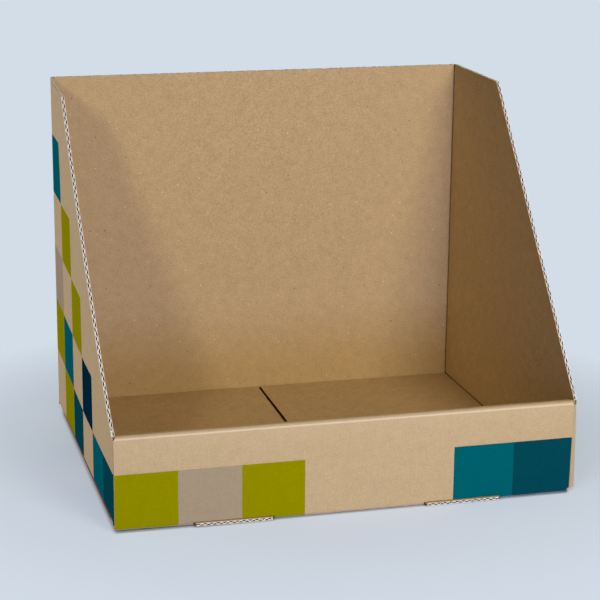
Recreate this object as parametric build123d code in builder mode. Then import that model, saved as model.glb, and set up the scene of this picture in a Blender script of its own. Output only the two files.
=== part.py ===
from build123d import *
import os

# Counter display stand folded from one blank of single-wall corrugated board, in millimetres.
# X runs to the right, Y to the back and Z up. The origin is at the middle of the footprint on the table.

# Outside sizes of the set-up stand
width = 240.0
depth = 199.5
height = 194.5
front_height = 50.0
top_flat = 67.5

# Board and how it folds
board = 1.6
crease_inner_radius = 0.4
layer_gap = 0.25

# Fluted section that shows at the cut edges: liner, wavy fluting paper, liner
liner = 0.28
fluting_paper = 0.22
flute_pitch = 3.3
flute_crest_width = 0.5
flute_open_depth = 6.0

# Base panel: a little narrower than the walls, relieved at the back corners and slotted for the locks
base_side_inset = 0.6
corner_relief = 2.6
lock_offset = 60.0
lock_width = 38.0
lock_clearance = 0.25

# Tongues of the base that are cut out of the front crease
tongue_width = 40.6
tongue_reach = 1.1
tongue_end_slant = 0.8
tongue_notch_clearance = 0.4

# Roll-over front wall
front_left_inset = 0.3
front_right_inset = 1.5
lining_end_inset = 3.2

# Flaps that fold in from the side walls
dust_flap_length = 55.0
dust_flap_top_drop = 0.6
floor_flap_end_gap = 0.4
floor_split_back = 1.4
floor_split_front = 2.0

# All cuts run past the board by this much
overrun = 5.0

# Places worked out from the sizes above
crease_radius = crease_inner_radius + board / 2
crease_outer_radius = crease_inner_radius + board
layer_step = board + layer_gap
half_width = width / 2
back_y = (depth + tongue_reach) / 2
front_y = back_y - depth
side_mid_x = half_width - board / 2
back_mid_y = back_y - board / 2
front_mid_y = front_y + board / 2
dust_mid_y = front_mid_y + layer_step
lining_mid_y = dust_mid_y + layer_step
lining_back_y = lining_mid_y + board / 2
base_mid_z = board / 2
wall_bottom = layer_step
floor_mid_z = base_mid_z + layer_step
floor_top = floor_mid_z + board / 2
dust_top = front_height - layer_step - dust_flap_top_drop
back_stub_top = wall_bottom + crease_outer_radius
floor_front_y = lining_back_y + floor_flap_end_gap
floor_back_y = back_y - board - floor_flap_end_gap
side_front_y = dust_mid_y - board / 2 + crease_outer_radius
split_ends = ((floor_back_y, floor_split_back / 2), (floor_front_y, floor_split_front / 2))
slope_top_y = back_y - top_flat
slope_foot_y = front_y + layer_step
tongue_flute_run = tongue_width - 2 * tongue_end_slant
side_flute_run = back_y - crease_outer_radius - side_front_y
flute_roof = board / 2 - liner
flute_floor = flute_roof - fluting_paper
flute_roof_half = (flute_pitch - flute_crest_width) / 2
flute_floor_half = flute_crest_width / 4


def open_flutes(start_u, start_v, length, turn=0):
    """Draw the air between liners and fluting along a wall's middle line, from a start point and at a turn.

    Each cell is a trapezoid, wide at its liner and narrow at the far crest, and cells take turns
    on the two sides of the fluting at half a pitch.
    """
    for side, phase in ((1, flute_pitch / 2), (-1, flute_pitch)):
        cell_count = int((length - phase) / flute_pitch + 1 / 2)
        with Locations(Location((start_u, start_v), turn)):
            with Locations(*[(phase + cell * flute_pitch, 0) for cell in range(cell_count)]):
                Polygon(
                    (-flute_roof_half, side * flute_roof),
                    (flute_roof_half, side * flute_roof),
                    (flute_floor_half, -side * flute_floor),
                    (-flute_floor_half, -side * flute_floor),
                    align=None,
                )


# Air in the upright flutes of the back and side walls, as deep as it opens below their cut edges
with BuildPart() as wall_flutes:
    with BuildSketch(Plane.XY.offset(wall_bottom)):
        open_flutes(-half_width + crease_outer_radius, back_mid_y, width - 2 * crease_outer_radius)
        for side in (-1, 1):
            open_flutes(side * side_mid_x, back_y - crease_outer_radius, side_flute_run, turn=-90)
    extrude(amount=height + overrun)
    with BuildSketch(Plane.YZ):
        with BuildLine():
            Polyline(
                (back_y, height + overrun),
                (slope_top_y, height + overrun),
                (slope_foot_y, front_height + overrun),
                (slope_foot_y, front_height - flute_open_depth),
                (slope_top_y, height - flute_open_depth),
                (back_y, height - flute_open_depth),
                close=True,
            )
        make_face()
    extrude(amount=half_width + overrun, both=True, mode=Mode.INTERSECT)


with BuildPart() as folded_board:
    # Back fold, base, front wall, roll-over top and lining: one section across the whole width
    with BuildSketch(Plane.YZ.offset(-half_width)):
        with BuildLine():
            FilletPolyline(
                (back_mid_y, back_stub_top),
                (back_mid_y, base_mid_z),
                (front_mid_y, base_mid_z),
                (front_mid_y, front_height - board / 2),
                (lining_mid_y, front_height - board / 2),
                (lining_mid_y, wall_bottom),
                radius=crease_radius,
            )
        trace(line_width=board)
    extrude(amount=width)

    # The base is narrower than the walls that stand over it, front crease included
    with BuildSketch(Plane.XY.offset(-overrun)):
        for side in (-1, 1):
            with Locations((side * half_width, 0)):
                Rectangle(2 * base_side_inset, 2 * depth)
    extrude(amount=overrun + board + layer_gap / 2, mode=Mode.SUBTRACT)

    # Relief where the three creases of each back corner meet
    with BuildSketch(Plane.XY.offset(-overrun)):
        for side in (-1, 1):
            with Locations((side * half_width, back_y)):
                Rectangle(2 * corner_relief, 2 * corner_relief)
    extrude(amount=overrun + back_stub_top + overrun, mode=Mode.SUBTRACT)

    # Ends of the front wall, and the taper of the roll-over top towards the shorter lining
    with BuildSketch(Plane.XY.offset(board + layer_gap / 2)):
        for side, end_inset in ((-1, front_left_inset), (1, front_right_inset)):
            end_x = side * (half_width - end_inset)
            side_wall_clear_x = side * (half_width - board - layer_gap)
            lining_end_x = side * (half_width - lining_end_inset)
            outside_x = side * (half_width + overrun)
            with BuildLine():
                Polyline(
                    (end_x, front_y - overrun),
                    (end_x, front_mid_y),
                    (side_wall_clear_x, slope_foot_y - layer_gap),
                    (lining_end_x, lining_back_y - crease_outer_radius),
                    (lining_end_x, lining_back_y + overrun),
                    (outside_x, lining_back_y + overrun),
                    (outside_x, front_y - overrun),
                    close=True,
                )
            make_face()
    extrude(amount=front_height, mode=Mode.SUBTRACT)

    # Notches in the front crease, and the flat tongues of the base that stand out through them
    with BuildSketch(Plane.XY.offset(-overrun)):
        with Locations((-lock_offset, front_y), (lock_offset, front_y)):
            Rectangle(tongue_width + 2 * tongue_notch_clearance, 2 * crease_outer_radius)
    extrude(amount=overrun + board + layer_gap, mode=Mode.SUBTRACT)
    with BuildSketch(Plane.XY):
        for centre_x in (-lock_offset, lock_offset):
            with BuildLine():
                Polyline(
                    (centre_x - tongue_width / 2, front_y + crease_outer_radius),
                    (centre_x - tongue_width / 2, front_y),
                    (centre_x - tongue_width / 2 + tongue_end_slant, front_y - tongue_reach),
                    (centre_x + tongue_width / 2 - tongue_end_slant, front_y - tongue_reach),
                    (centre_x + tongue_width / 2, front_y),
                    (centre_x + tongue_width / 2, front_y + crease_outer_radius),
                    close=True,
                )
            make_face()
    extrude(amount=board)

    # Slots in the base, and the lining's two locking tabs that stand in them
    with BuildSketch(Plane.XY.offset(-overrun)):
        with Locations((-lock_offset, lining_mid_y), (lock_offset, lining_mid_y)):
            Rectangle(lock_width + 2 * lock_clearance, board + 2 * lock_clearance)
    extrude(amount=overrun + board + layer_gap / 2, mode=Mode.SUBTRACT)
    with BuildSketch(Plane.XY.offset(layer_gap)):
        with Locations((-lock_offset, lining_mid_y), (lock_offset, lining_mid_y)):
            Rectangle(lock_width, board)
    extrude(amount=wall_bottom + board)

    # Side walls and back wall, which fold about upright creases
    with BuildSketch(Plane.XY.offset(wall_bottom)):
        with BuildLine():
            FilletPolyline(
                (-side_mid_x, slope_foot_y),
                (-side_mid_x, back_mid_y),
                (side_mid_x, back_mid_y),
                (side_mid_x, slope_foot_y),
                radius=crease_radius,
            )
        trace(line_width=board)
    extrude(amount=height - wall_bottom)

    # Slope of the side walls from the short flat at the back down to the front wall
    with BuildSketch(Plane.YZ):
        with BuildLine():
            Polyline(
                (slope_top_y, height),
                (slope_foot_y, front_height),
                (slope_foot_y, height + overrun),
                (slope_top_y, height + overrun),
                close=True,
            )
        make_face()
    extrude(amount=half_width + overrun, both=True, mode=Mode.SUBTRACT)

    # Dust flaps, which fold in behind the front wall; above them the side walls stay flat to the crease
    with BuildSketch(Plane.XY.offset(wall_bottom - layer_gap / 2)):
        for side in (-1, 1):
            with Locations((side * half_width, (slope_foot_y - layer_gap / 2 + side_front_y) / 2)):
                Rectangle(2 * crease_outer_radius, side_front_y - slope_foot_y + layer_gap / 2)
    extrude(amount=dust_top + layer_gap * 3 / 2 - wall_bottom, mode=Mode.SUBTRACT)
    with BuildSketch(Plane.XY.offset(wall_bottom)):
        for side in (-1, 1):
            with BuildLine():
                FilletPolyline(
                    (side * side_mid_x, side_front_y + crease_outer_radius),
                    (side * side_mid_x, dust_mid_y),
                    (side * (half_width - dust_flap_length), dust_mid_y),
                    radius=crease_radius,
                )
            trace(line_width=board)
    extrude(amount=dust_top - wall_bottom)

    # Floor flaps: each side wall turns in at its foot and covers half of the base
    with BuildSketch(Plane.XY.offset(wall_bottom - layer_gap / 2)):
        for side in (-1, 1):
            with Locations((side * half_width, (floor_front_y + floor_back_y) / 2)):
                Rectangle(2 * crease_outer_radius, floor_back_y - floor_front_y)
    extrude(amount=layer_gap / 2 + crease_outer_radius, mode=Mode.SUBTRACT)
    with BuildSketch(Plane.XZ.offset(-floor_back_y)):
        for side in (-1, 1):
            with BuildLine():
                FilletPolyline(
                    (side * side_mid_x, wall_bottom + 2 * crease_outer_radius),
                    (side * side_mid_x, floor_mid_z),
                    (0, floor_mid_z),
                    radius=crease_radius,
                )
            trace(line_width=board)
    extrude(amount=floor_back_y - floor_front_y)

    # The split between the floor flaps opens a little towards the front
    with BuildSketch(Plane.XY.offset(wall_bottom - layer_gap / 2)):
        with BuildLine():
            Polyline(
                (-split_ends[0][1], split_ends[0][0] + overrun),
                (split_ends[0][1], split_ends[0][0] + overrun),
                (split_ends[1][1], split_ends[1][0] - layer_gap),
                (-split_ends[1][1], split_ends[1][0] - layer_gap),
                close=True,
            )
        make_face()
    extrude(amount=floor_top, mode=Mode.SUBTRACT)

    # Flutes that stand open at the walls' upper edges, at the split in the floor and at the tongues
    add(wall_flutes.part, mode=Mode.SUBTRACT)
    with BuildSketch(Plane.YZ):
        open_flutes(floor_front_y, floor_mid_z, floor_back_y - floor_front_y)
    extrude(amount=flute_open_depth, both=True, mode=Mode.SUBTRACT)
    with BuildSketch(Plane.XZ.offset(tongue_reach - front_y)):
        for centre_x in (-lock_offset, lock_offset):
            open_flutes(centre_x - tongue_flute_run / 2, base_mid_z, tongue_flute_run)
    extrude(amount=-(tongue_reach + crease_outer_radius), mode=Mode.SUBTRACT)

folded_board.part.label = "folded_board"

os.makedirs("parts", exist_ok=True)
export_step(folded_board.part, "parts/folded_board.step")
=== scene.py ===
import math
from types import SimpleNamespace

import bpy
import numpy as np
from bpy.props import FloatProperty, FloatVectorProperty, PointerProperty
from mathutils import Matrix, Vector


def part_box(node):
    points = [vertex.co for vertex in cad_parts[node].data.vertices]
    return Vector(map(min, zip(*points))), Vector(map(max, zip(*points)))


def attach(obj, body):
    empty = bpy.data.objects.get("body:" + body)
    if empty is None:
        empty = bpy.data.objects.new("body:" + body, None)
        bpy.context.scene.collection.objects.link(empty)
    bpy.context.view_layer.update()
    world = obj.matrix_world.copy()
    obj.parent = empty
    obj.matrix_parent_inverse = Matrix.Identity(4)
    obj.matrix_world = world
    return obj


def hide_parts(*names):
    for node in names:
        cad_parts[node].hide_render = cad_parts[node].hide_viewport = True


bl_info = {
    "name": "Folded Counter Display",
    "version": (1, 0, 0),
    "blender": (4, 5, 0),
    "location": "View3D > Sidebar > Display",
    "description": "Builds a counter display stand folded from one printed blank of corrugated board",
    "category": "Add Mesh",
}

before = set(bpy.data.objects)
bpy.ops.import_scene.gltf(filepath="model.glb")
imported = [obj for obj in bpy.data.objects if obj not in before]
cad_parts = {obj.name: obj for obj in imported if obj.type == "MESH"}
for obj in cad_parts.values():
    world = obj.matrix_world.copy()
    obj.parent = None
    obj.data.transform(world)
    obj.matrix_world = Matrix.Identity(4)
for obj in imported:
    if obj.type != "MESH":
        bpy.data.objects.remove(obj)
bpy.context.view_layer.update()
NODE = "folded_board"
BODY = "root"
LOW, HIGH = (np.array(corner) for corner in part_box(NODE))
# A length too small to see, which keeps two places apart
STEP = 1e-6
# Cells round a fold, and the power that crowds a wall's rows towards its top
BEND_CELLS = 8
CROWDING = 0.6
# Mesh steps: cells to a flute, and a length along the flutes
LINER_CELLS, LINER_STEP = 5, 0.0152
FLUTING_CELLS, FLUTING_STEP = 8, 0.04
# Faces that meet at a wider angle stay sharp
SHARP_ANGLE = math.radians(35)
# The axis that a stretch of board is wide on: base and front wall, floor flaps, standing walls
ACROSS, DEEP, UPRIGHT = 0, 1, 2
# Each lamp's turn to the left of the front and its rise in degrees, its distance, width and height, and
# the settings that hold its strength and colour
LAMPS = (
    ("front_lamp", 0, 2, 1.8, 0.5, 0.4, "front_watts", "cool"),
    ("near_lamp", -15, 25, 0.9, 0.3, 0.3, "near_watts", "mild"),
    ("left_lamp", 33, 24, 1.8, 0.2, 0.2, "left_watts", "warm"),
    ("side_lamp", 112, 0, 1.6, 0.5, 0.1, "side_watts", "pale"),
    ("floor_lamp", 50, 18, 1.8, 0.5, 0.5, "floor_watts", "pale"),
)


def length_property(name, description, default):
    """A length in metres that a user may change."""
    return FloatProperty(name=name, description=description, default=default, unit="LENGTH", precision=5)


def lengths_property(name, description, default):
    """Several lengths in metres that a user may change."""
    return FloatVectorProperty(name=name, description=description, default=default, size=len(default),
                               unit="LENGTH", precision=5)


def turn_property(name, description, degrees):
    """An angle that a user may change, given in degrees."""
    return FloatProperty(name=name, description=description, default=math.radians(degrees), subtype="ANGLE")


def watts_property(name, description, default):
    """A lamp's strength in watts, which a user may change."""
    return FloatProperty(name=name, description=description, default=default, unit="POWER")


def colour_property(name, description, default):
    """A colour that a user may change, given as the eye sees it and kept in linear light."""
    linear = tuple(srgb_to_linear(value) for value in default)
    return FloatVectorProperty(name=name, description=description, default=linear, subtype="COLOR",
                               size=3, min=0, max=1)


def srgb_to_linear(value):
    """Turn one channel from 0 to 255 into linear light by the usual screen curve."""
    value = value / 255
    return value / 12.92 if value <= 0.04045 else ((value + 0.055) / 1.055) ** 2.4


class BoardSizes(bpy.types.PropertyGroup):
    """Sizes of the board and of the folded blank."""
    board: length_property("Board", "Thickness of the corrugated board", 0.0016)
    liner: length_property("Liner", "Thickness of each flat paper", 0.00024)
    paper: length_property("Fluting Paper", "Thickness of the wavy paper", 0.0003)
    burr: length_property("Fluting Burr", "Thickness of the wavy paper where it is cut", 0.0004)
    flattened: length_property("Flattened Fluting", "Thickness of the wavy paper along level tops", 0.0009)
    pitch: length_property("Flute Pitch", "Distance from one flute to the next", 0.0033)
    bend: length_property("Inner Radius", "Radius inside a fold", 0.0004)
    gap: length_property("Layer Gap", "Air between two layers that lie together", 0.00025)
    front_height: length_property("Front Height", "Height of the roll-over front wall", 0.05)
    top_flat: length_property("Top Flat", "Level stretch of a side wall's upper edge", 0.0675)
    dust_flap: length_property("Dust Flap", "Length of the flaps behind the front wall", 0.055)
    dust_drop: length_property("Dust Flap Drop", "Clearance above the dust flaps", 0.0006)
    base_inset: length_property("Base Inset", "How much narrower the base is at each side", 0.0006)
    relief: length_property("Corner Relief", "Cut where three creases meet at the back", 0.0026)
    left_inset: length_property("Front Left Inset", "Front wall's left end, in from the side", 0.0)
    right_inset: length_property("Front Right Inset", "Front wall's right end, in from the side", 0.0015)
    nick: length_property("Corner Nick", "Width torn off the front wall's lower right corner", 0.0014)
    nick_height: length_property("Corner Nick Height", "Height of the torn corner", 0.0026)
    lining_inset: length_property("Lining Inset", "Lining's ends, in from the sides", 0.0032)
    lock_offset: length_property("Lock Offset", "Middle of each lock, from the middle", 0.06)
    lock_width: length_property("Lock Width", "Width of each locking tab", 0.038)
    lock_clearance: length_property("Lock Clearance", "Room around a locking tab", 0.00025)
    tongue_width: length_property("Tongue Width", "Width of the base's tongues", 0.0406)
    tongue_reach: length_property("Tongue Reach", "How far a tongue stands out in front", 0.0011)
    tongue_slant: length_property("Tongue Slant", "Slant of a tongue's ends", 0.0008)
    tongue_clearance: length_property("Tongue Clearance", "Room beside a tongue", 0.0004)
    flap_gap: length_property("Flap End Gap", "Room at the ends of the floor flaps", 0.0004)
    split_back: length_property("Split at Back", "Opening between the floor flaps, back", 0.0014)
    split_front: length_property("Split at Front", "Opening between the floor flaps, front", 0.0028)


class SettlingSizes(bpy.types.PropertyGroup):
    """How the real board strays from straight and even"""
    left_lean: length_property("Left Lean", "Outward lean of the left wall's edge", 0.0046)
    left_corner: length_property("Left Corner Lean", "Outward lean of the back's left corner", 0.00035)
    left_heel: length_property("Left Heel", "How far the back's left corner stands out at its foot", 0.0004)
    front_lift: length_property("Front Lift", "How far the left front corner stands off the table", 0.0011)
    right_lean: length_property("Right Lean", "Outward lean of the right wall's edge", 0.0022)
    right_foot: length_property("Right Foot", "How far the right wall's foot stands out in front", 0.0026)
    front_skew: length_property("Front Skew", "How much longer the front wall is above than below", 0.0007)
    back_bow: length_property("Back Bow", "Depth of the back wall's bow", 0.0003)
    flap_lift: length_property("Flap Lift", "How far the floor flaps spring up at the split", 0.0003)
    groove: length_property("Crease Groove", "Depth of a crease's groove inside a fold", 0.0008)
    groove_half: length_property("Groove Half Width", "Half width of a crease's groove", 0.00068)
    # Width of the rubbed line and painted highlight along an outer fold
    rub_highlight_half: length_property("Rub Half Width", "Half width of the rubbed line on a fold", 0.00022)
    edge_tear: length_property("Edge Fraying", "Unevenness of the cut edges", 0.00006)


class PrintColours(bpy.types.PropertyGroup):
    """Papers and inks, and the size of the printed squares."""
    outer: colour_property("Outer Liner", "Bare board outside", (198, 172, 126))
    # Partly the inner paper's own colour, partly painted shade: a little darker and more saturated than the
    # outer liner, for the deep shade inside the tray
    inner: colour_property("Inner Liner", "Bare board inside", (195, 166, 117))
    # Painted shade: a dark colour on the fluting, the hidden faces of the liners and the floor split's cut
    # ends, standing for the shade inside them
    core: colour_property("Core", "Unlit paper between the liners", (78, 40, 17))
    cut: colour_property("Cut Edge", "Paper where the blank was cut", (240, 231, 208))
    # Partly the board's own brown edge along its flutes, partly painted shade: it darkens the base's edge
    # under the walls and the underside of the floor flaps' folds
    long_cut_shade: colour_property("Long Edge", "Board cut along its flutes", (144, 98, 56))
    # Partly real rubbing of the folded liner, partly a painted highlight along each outer fold
    rubbed_and_highlight: colour_property("Rubbed Fold", "Outer liner where a fold is rubbed", (244, 230, 200))
    # Painted shade: the dark brown that the inner liner gets in a crease, where shade falls
    crease_shade: colour_property("Creased Fold", "Inner liner pressed into a crease", (48, 24, 8))
    green: colour_property("Green", "Green ink", (146, 140, 0))
    taupe: colour_property("Taupe", "Grey-brown ink", (168, 150, 117))
    teal: colour_property("Teal", "Blue-green ink", (0, 96, 100))
    deep_teal: colour_property("Deep Teal", "Dark blue-green ink", (4, 71, 78))
    navy: colour_property("Navy", "Dark blue ink", (0, 42, 58))
    square: length_property("Square", "Width of a printed square in front", 0.0323)
    row: length_property("Row", "Height of a printed square", 0.03275)
    first_row: length_property("First Row", "Height of the lowest row of squares", 0.0304)
    shift: length_property("Print Shift", "How far the print in front sits to the right", -0.0006)
    lifts: lengths_property("Row Lifts", "How much higher each row's edge is at the back of a side wall",
                            (0.0059, 0.0040, 0.0029, 0.0011, 0.0012))
    falls: lengths_property("Row Falls", "How far each row's edge would fall from the back to the front",
                            (0.0114, 0.0126, 0.0118, 0.0054, -0.0042))
    slanted: FloatProperty(name="Slanted Share", description="Share of the depth over which the rows fall",
                           default=0.55, subtype="FACTOR")


class StageSettings(bpy.types.PropertyGroup):
    """Floor, lamps and camera"""
    backdrop: colour_property("Backdrop", "Colour of the floor and the air behind", (211, 221, 231))
    floor: colour_property("Floor", "Paper of the floor, as the lamps light it", (162, 169, 178))
    cool: colour_property("Cool Light", "Colour of the front lamp", (165, 182, 255))
    warm: colour_property("Warm Light", "Colour of the left lamp", (252, 244, 232))
    mild: colour_property("Mild Light", "Colour of the near lamp", (250, 242, 232))
    pale: colour_property("Pale Light", "Colour of the side and floor lamps", (230, 230, 255))
    floor_half: length_property("Floor Half Side", "Reach of the floor", 12.0)
    near_glow: FloatProperty(name="Near Glow", description="Share of the backdrop's colour that no shadow "
                             "takes from the floor by the stand", default=0.5, subtype="FACTOR")
    contact: length_property("Contact Reach", "How near to the floor the board shades it", 0.002)
    near_reach: length_property("Near Reach", "Where the floor starts to fade into the backdrop", 0.125)
    far_reach: length_property("Far Reach", "Where the floor is all backdrop", 0.255)
    aim: length_property("Lamp Aim", "Height over the floor that the lamps point at", 0.09)
    front_watts: watts_property("Front Lamp", "Strength of the low lamp in front", 15.0)
    near_watts: watts_property("Near Lamp", "Strength of the raised lamp close by", 4.75)
    left_watts: watts_property("Left Lamp", "Strength of the lamp left of the front", 7.1)
    side_watts: watts_property("Side Lamp", "Strength of the low lamp at the left side", 14.6)
    floor_watts: watts_property("Floor Lamp", "Strength of the lamp that lights only the floor", 14.0)
    camera_yaw: turn_property("Camera Yaw", "Turn of the view to the right", 14.854)
    camera_pitch: turn_property("Camera Pitch", "Tilt of the view down", 15.682)
    camera_roll: turn_property("Camera Roll", "Roll of the view", 0.498)
    camera_place: FloatVectorProperty(name="Camera Place", description="Where the camera stands", size=3,
                                      default=(-0.2558, -0.96115, 0.3637), subtype="XYZ")
    lens: FloatProperty(name="Lens", description="Focal length in millimetres", default=114.26)
    sensor: FloatProperty(name="Sensor", description="Width of the sensor in millimetres", default=36.0)


def blank_places(sizes):
    """Work out where the folded board's lines lie, from the CAD box and the sizes."""
    p = SimpleNamespace()
    p.half_width = HIGH[0]
    p.height = HIGH[2]
    p.back = HIGH[1]
    p.front = LOW[1] + sizes.tongue_reach
    p.radius = sizes.bend + sizes.board / 2
    p.outer_radius = sizes.bend + sizes.board
    p.step = sizes.board + sizes.gap
    p.side_mid = p.half_width - sizes.board / 2
    p.back_mid = p.back - sizes.board / 2
    p.front_mid = p.front + sizes.board / 2
    p.dust_mid = p.front_mid + p.step
    p.lining_mid = p.dust_mid + p.step
    p.lining_back = p.lining_mid + sizes.board / 2
    p.base_mid = sizes.board / 2
    p.wall_bottom = p.step
    p.floor_mid = p.base_mid + p.step
    p.floor_crease_top = p.wall_bottom + p.outer_radius
    p.dust_top = sizes.front_height - p.step - sizes.dust_drop
    p.floor_front = p.lining_back + sizes.flap_gap
    p.floor_back = p.back - sizes.board - sizes.flap_gap
    p.side_front = p.dust_mid + p.radius
    p.slope_top = p.back - sizes.top_flat
    p.slope_foot = p.front + p.step
    p.slope = (p.height - sizes.front_height) / (p.slope_top - p.slope_foot)
    return p


class FoldedLine:
    """A line that runs straight between its corners and turns each corner on an arc.

    On a straight run a point is its start plus the direction times the distance. On an arc it is the
    centre plus the radius turned by the distance over the radius.
    """

    def __init__(self, corners, radius):
        corners = np.array(corners, float)
        legs = np.diff(corners, axis=0)
        lengths = np.linalg.norm(legs, axis=1)
        self.ways = legs / lengths[:, None]
        turns = np.array([math.atan2(a[0] * b[1] - a[1] * b[0], a @ b)
                          for a, b in zip(self.ways[:-1], self.ways[1:])])
        trims = np.concatenate([[0], radius * np.tan(np.abs(turns) / 2), [0]])
        self.runs, self.bends, start = [], [], 0.0
        for leg, way in enumerate(self.ways):
            straight = lengths[leg] - trims[leg] - trims[leg + 1]
            self.runs.append((start, start + straight, corners[leg] + trims[leg] * way, way, 0.0))
            start += straight
            if leg < len(turns):
                swept = radius * abs(turns[leg])
                corner = corners[leg + 1] - trims[leg + 1] * way
                self.runs.append((start, start + swept, corner, way, turns[leg] / swept))
                self.bends.append((start, start + swept))
                start += swept
        self.length = start

    def at(self, s):
        """Point and left-hand normal at each distance s."""
        point, normal = np.zeros(s.shape + (2,)), np.zeros(s.shape + (2,))
        for first, last, corner, way, bending in self.runs:
            here = (s >= first - STEP) & (s <= last + STEP)
            run = np.clip(s[here], first, last) - first
            left = np.array([-way[1], way[0]])
            if bending:
                angle = run * bending
                point[here] = (corner + way * (np.sin(angle) / bending)[:, None]
                               + left * ((1 - np.cos(angle)) / bending)[:, None])
                normal[here] = left * np.cos(angle)[:, None] - way * np.sin(angle)[:, None]
            else:
                point[here] = corner + way * run[:, None]
                normal[here] = left
        return point, normal

    def samples(self, spacing, marks=()):
        """Distances that step evenly along every run, with the marks among them."""
        parts = [np.array(marks, float)]
        for first, last, _, _, bending in self.runs:
            count = BEND_CELLS if bending else max(1, math.ceil((last - first) / spacing - STEP))
            parts.append(np.linspace(first, last, count + 1))
        return merged(np.concatenate(parts))

    def nearness(self, s, reach, share=0.5):
        """One at a bend's given share, falling to nothing as a bell curve of the given reach."""
        if not self.bends:
            return np.zeros_like(s)
        starts, ends = np.array(self.bends).T
        middles = starts + (ends - starts) * share
        away = np.abs(s[..., None] - middles).min(axis=-1)
        return np.exp(-(away / reach) ** 2)

    def cells_between(self, s, first, last):
        """Whether each step of the distances lies between one bend's start and another's end."""
        middle = (s[:-1] + s[1:])[:, None] / 2
        return (middle > self.bends[first][0]) & (middle < self.bends[last][1])


def merged(values):
    """Sort distances and drop those that repeat."""
    values = np.sort(values)
    return values[np.concatenate([[True], np.diff(values) > STEP / 2])]


def spread(low, high, spacing, marks=()):
    """Even steps from low to high, with the marks among them."""
    count = max(1, math.ceil((high - low) / spacing - STEP))
    return merged(np.concatenate([np.linspace(low, high, count + 1), np.array(marks, float)]))


def steps(s, knots):
    """Value at each distance from knots of distance and value, where two close knots make a step."""
    places, values = zip(*knots)
    return np.interp(s, places, values)


def stretch(line, s, b, axis, face="plain", keep=True, outward=1, rub_highlight_at=0.5, end="cut"):
    """One stretch of board: distances s along its fold line, and places b on the axis it is wide on.

    Face names the finish of each cell, and keep tells which cells are not cut away. Outward is the side
    of the line that the outer liner lies on. The rub argument is the share of a bend at which the outer
    fold is rubbed and carries a painted highlight, and end the finish of the line's cut ends.
    """
    cells = (len(s) - 1, b.shape[1] - 1)
    return SimpleNamespace(line=line, s=s, b=b, axis=axis, face=np.broadcast_to(face, cells),
                           keep=np.broadcast_to(keep, cells), outward=outward, rub_highlight_at=rub_highlight_at, end=end)


def wall_run(sizes, p, across, along):
    """Dust flap, side wall, back wall, side wall and dust flap, folded about upright creases.

    A row's share of the height is its even share to the power of the crowding, so rows lie closer near
    the top, where a leaning wall bends most, and the fluting's long steps stay between the liners.
    """
    end_x = p.half_width - sizes.dust_flap
    corners = [(-end_x, p.dust_mid), (-p.side_mid, p.dust_mid), (-p.side_mid, p.back_mid),
               (p.side_mid, p.back_mid), (p.side_mid, p.dust_mid), (end_x, p.dust_mid)]
    line = FoldedLine(corners, p.radius)
    half = line.length / 2
    side = line.bends[0][1]
    foot = side + p.floor_front - p.side_front
    flat = side + p.slope_top - p.side_front
    heel = side + p.floor_back - p.side_front
    relief = half - (p.half_width - sizes.relief)
    slope_low = sizes.front_height + (p.side_front - p.slope_foot) * p.slope
    upper = [(0, p.dust_top), (side, p.dust_top), (side + STEP, slope_low), (flat, p.height)]
    lower = [(0, p.wall_bottom), (foot, p.wall_bottom), (foot + STEP, p.floor_crease_top),
             (heel, p.floor_crease_top), (heel + STEP, p.wall_bottom), (relief, p.wall_bottom),
             (relief + STEP, p.outer_radius)]
    upper += [(line.length - place, value) for place, value in reversed(upper)]
    lower += [(line.length - place, value) for place, value in reversed(lower)]
    s = line.samples(across, [place for place, _ in upper + lower])
    t = spread(0, 1, along / p.height) ** CROWDING
    bottom, top = steps(s, lower), steps(s, upper)
    b = bottom[:, None] + (top - bottom)[:, None] * t
    face = np.where(line.cells_between(s, 0, 1), "left", "plain")
    face = np.where(line.cells_between(s, 2, 3), "right", face)
    return stretch(line, s, b, UPRIGHT, face)


def tip_runs(sizes, p, across):
    """The flat tips of the side walls in front of the dust flaps' folds."""
    runs = []
    low = p.dust_top + sizes.gap
    for side, face in ((-1, "left"), (1, "right")):
        line = FoldedLine([(side * p.side_mid, p.slope_foot), (side * p.side_mid, p.side_front)], p.radius)
        s = line.samples(across)
        high = sizes.front_height + s * p.slope
        b = low + (high - low)[:, None] * np.linspace(0, 1, 3)
        runs.append(stretch(line, s, b, UPRIGHT, face, outward=-side))
    return runs


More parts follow.
